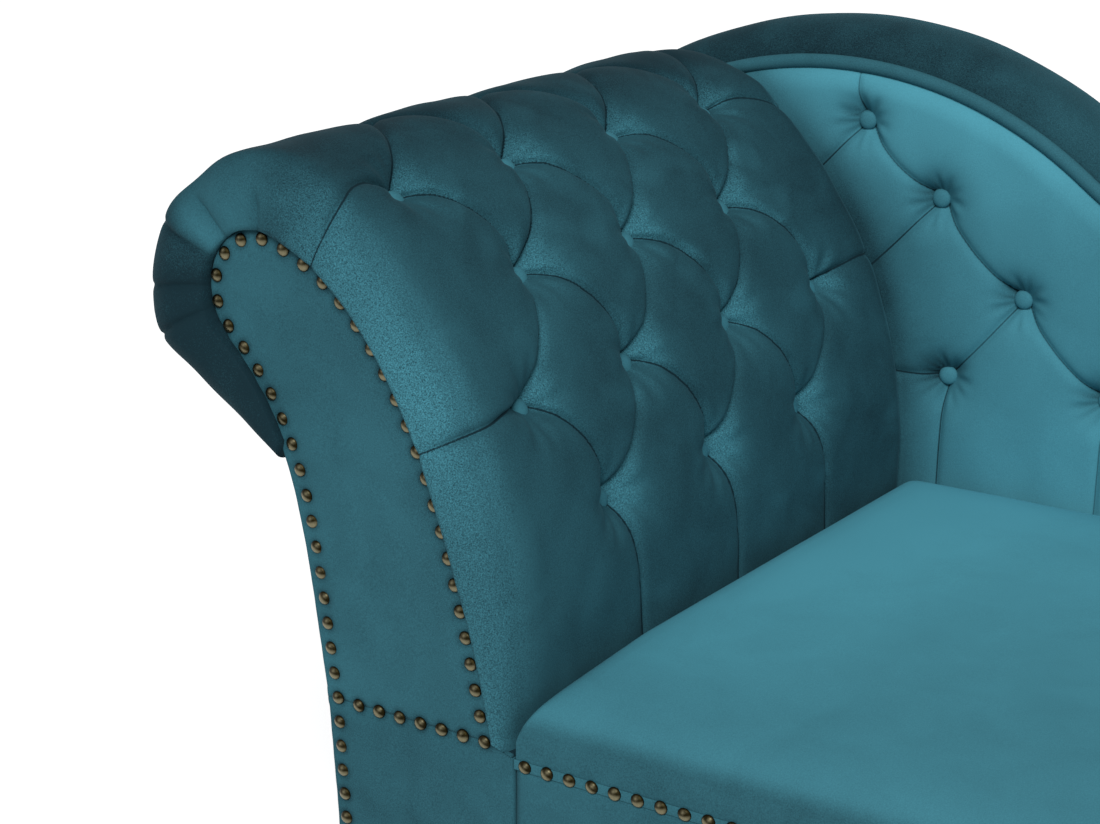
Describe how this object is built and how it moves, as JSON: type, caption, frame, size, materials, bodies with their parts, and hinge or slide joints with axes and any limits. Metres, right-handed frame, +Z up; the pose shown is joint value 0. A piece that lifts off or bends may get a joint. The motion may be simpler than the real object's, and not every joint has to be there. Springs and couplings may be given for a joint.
{
  "type": "chaise longue",
  "caption": "Chaise longue with one rolled arm and a swept back, deep buttoned in velvet, with a tight seat, dome nail trim and turned wooden legs.",
  "frame": {"origin": "middle of the bounding box, on the floor", "axes": "+X from the arm to the foot end, +Y from the front to the back, +Z up"},
  "size_m": [1.6496, 0.73, 0.8131],
  "materials": {
    "velvet": "teal velvet pile, cut short, with a pale sheen at the edges",
    "nail_brass": "antique brass, darkened in the hollows",
    "leg_wood": "dark stained hardwood, satin",
    "frame_timber": "raw softwood",
    "webbing": "woven jute strap",
    "dust_cloth": "black non-woven cloth",
    "steel": "zinc plated",
    "glide": "matt"
  },
  "bodies": {
    "root": {"front_rail": "frame_timber", "rear_rail": "frame_timber", "arm_end_rail": "frame_timber", "foot_end_rail": "frame_timber", "arm_bearer": "frame_timber", "cross_stretchers": "frame_timber", "corner_blocks": "frame_timber", "leg_tee_nuts": "steel", "leg_hanger_bolts": "steel", "leg_glides": "glide", "front_leg_arm_end": "leg_wood", "front_leg_foot_end": "leg_wood", "rear_leg_arm_end": "leg_wood", "rear_leg_foot_end": "leg_wood", "dust_cover": "dust_cloth", "seat_webbing": "webbing", "seat_pad": "velvet", "base_border": "velvet", "border_tape": "velvet", "border_nails": "nail_brass", "arm_front_board": "frame_timber", "arm_rear_board": "frame_timber", "arm_roll_batten": "frame_timber", "arm_middle_batten": "frame_timber", "arm_webbing": "webbing", "arm_pad": "velvet", "arm_buttons": "velvet", "arm_facing_upper": "velvet", "arm_facing_lower": "velvet", "arm_outer_panel": "velvet", "arm_nails": "nail_brass", "back_top_rail": "frame_timber", "back_posts": "frame_timber", "back_webbing": "webbing", "back_pad": "velvet", "back_buttons": "velvet", "back_rim": "velvet", "back_piping": "velvet", "back_outer_panel": "velvet"}
  },
  "joints": []
}
